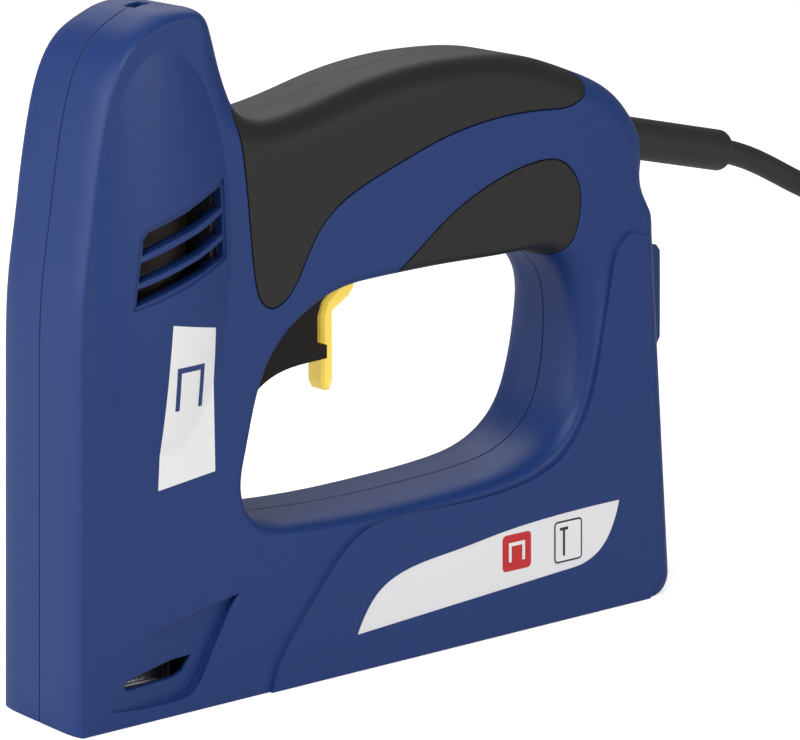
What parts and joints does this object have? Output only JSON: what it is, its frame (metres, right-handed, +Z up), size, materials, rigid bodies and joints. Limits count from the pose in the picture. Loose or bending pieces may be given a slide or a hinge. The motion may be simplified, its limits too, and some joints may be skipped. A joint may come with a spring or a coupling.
{
  "type": "electric stapler",
  "caption": "Corded electric stapler with a D-shaped handle, trigger with finger guard, solenoid driver, magazine that slides out at the rear, cord and plug.",
  "frame": {"origin": "point where a staple leaves the nose, on the base plane and the parting plane", "axes": "+X from the nose to the rear, +Y to the tool's right-hand side, +Z up from the base"},
  "size_m": [0.3688, 0.2264, 0.1776],
  "materials": {
    "blue_plastic": "fine-grained satin",
    "grip_rubber": "soft matt",
    "label_grey": "printed satin",
    "trigger_yellow": "gloss",
    "black_plastic": "satin",
    "cord_rubber": "matt",
    "steel": "brushed",
    "spring_steel": "drawn wire",
    "yoke_steel": "zinc plated",
    "staple_steel": "galvanised",
    "copper": "enamelled wire",
    "bobbin_plastic": "satin",
    "bumper_rubber": "matt",
    "board_green": "solder mask",
    "capacitor_blue": "sleeve",
    "fuse_glass": "gloss",
    "wire_red": "insulated",
    "pin_brass": "nickel plated"
  },
  "bodies": {
    "housing": {"left_shell": "blue_plastic", "right_shell": "blue_plastic", "left_top_grip": "grip_rubber", "right_top_grip": "grip_rubber", "left_inner_grip": "grip_rubber", "right_inner_grip": "grip_rubber", "left_label": "label_grey", "right_label": "label_grey", "housing_screws": "steel", "finger_guard": "black_plastic", "solenoid_yoke": "yoke_steel", "coil_bobbin": "bobbin_plastic", "solenoid_coil": "copper", "bottom_bumper": "bumper_rubber", "top_bumper": "bumper_rubber", "return_spring": "spring_steel", "nose_guide_front": "steel", "nose_guide_rear": "steel", "magazine_rail": "steel", "latch_spring": "spring_steel", "trigger_pin": "steel", "trigger_spring": "spring_steel", "microswitch_body": "black_plastic", "control_board": "board_green", "board_capacitor": "capacitor_blue", "board_thyristor": "black_plastic", "board_fuse": "fuse_glass", "coil_wires": "wire_red", "mains_wires": "wire_red", "cord_boot": "cord_rubber", "cord": "cord_rubber", "cord_clamp": "black_plastic", "clamp_screws": "steel", "plug_body": "black_plastic", "plug_pins": "pin_brass", "pin_sleeves": "black_plastic"},
    "driver": {"plunger": "steel", "driver_bracket": "steel", "blade_rivets": "steel", "driver_blade": "steel"},
    "magazine": {"magazine_drawer": "steel", "magazine_cap": "blue_plastic", "staple_strip": "staple_steel", "pusher_spring": "spring_steel"},
    "pusher_body": {"pusher": "steel"},
    "release": {"latch_slider": "blue_plastic"},
    "trigger_body": {"trigger": "trigger_yellow"},
    "button": {"switch_button": "black_plastic"}
  },
  "joints": [
    {"name": "trigger_pull", "type": "hinge", "parent": "housing", "child": "trigger_body", "pos_m": [0.088, 0, 0.108], "axis": [0, -1, 0], "range_deg": [0, 11.5], "deforming": ["trigger_spring"]},
    {"name": "switch_press", "type": "slide", "parent": "housing", "child": "button", "axis": [0, 0, 1], "range_m": [0, 0.00175]},
    {"name": "driver_stroke", "type": "slide", "parent": "housing", "child": "driver", "axis": [0, 0, -1], "range_m": [0, 0.016], "deforming": ["return_spring"]},
    {"name": "magazine_slide", "type": "slide", "parent": "housing", "child": "magazine", "axis": [1, 0, 0], "range_m": [0, 0.09]},
    {"name": "pusher_slide", "type": "slide", "parent": "magazine", "child": "pusher_body", "axis": [1, 0, 0], "range_m": [0, 0.06], "deforming": ["pusher_spring"]},
    {"name": "release_slide", "type": "slide", "parent": "housing", "child": "release", "axis": [0, 0, 1], "range_m": [0, 0.005], "deforming": ["latch_spring"]}
  ],
  "couplings": [
    {"joint": "switch_press", "follows": "trigger_pull", "m_per_rad": 0.0085}
  ]
}
